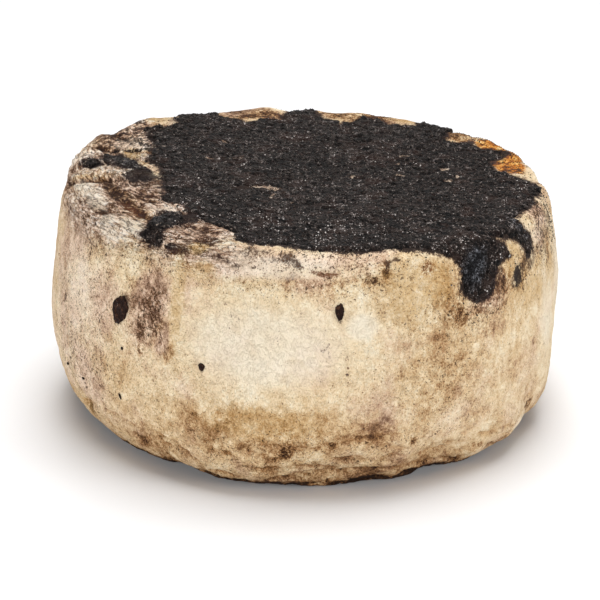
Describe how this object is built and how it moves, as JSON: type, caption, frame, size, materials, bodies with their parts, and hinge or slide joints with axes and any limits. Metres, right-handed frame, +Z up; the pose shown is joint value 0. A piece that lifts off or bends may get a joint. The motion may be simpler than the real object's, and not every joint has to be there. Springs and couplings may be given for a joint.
{
  "type": "pecorino wheel",
  "caption": "Whole wheel of aged pecorino cheese: an uneven drum with a bulging pale rind side and a dished top face crusted with black ash.",
  "frame": {"origin": "middle of the wheel's box, on the plane of its flat underside", "axes": "+Z up through the ash-rubbed top face; the front that shows the dark drip at its right is towards -Y"},
  "size_m": [0.1902, 0.1908, 0.0922],
  "materials": {
    "rind": "dry, matt natural rind, cream to ochre with brown and grey mould stains",
    "ash_crust": "crumbly black ash rubbed into the top face, with small glints"
  },
  "bodies": {
    "root": {"wheel": "rind"}
  },
  "joints": []
}
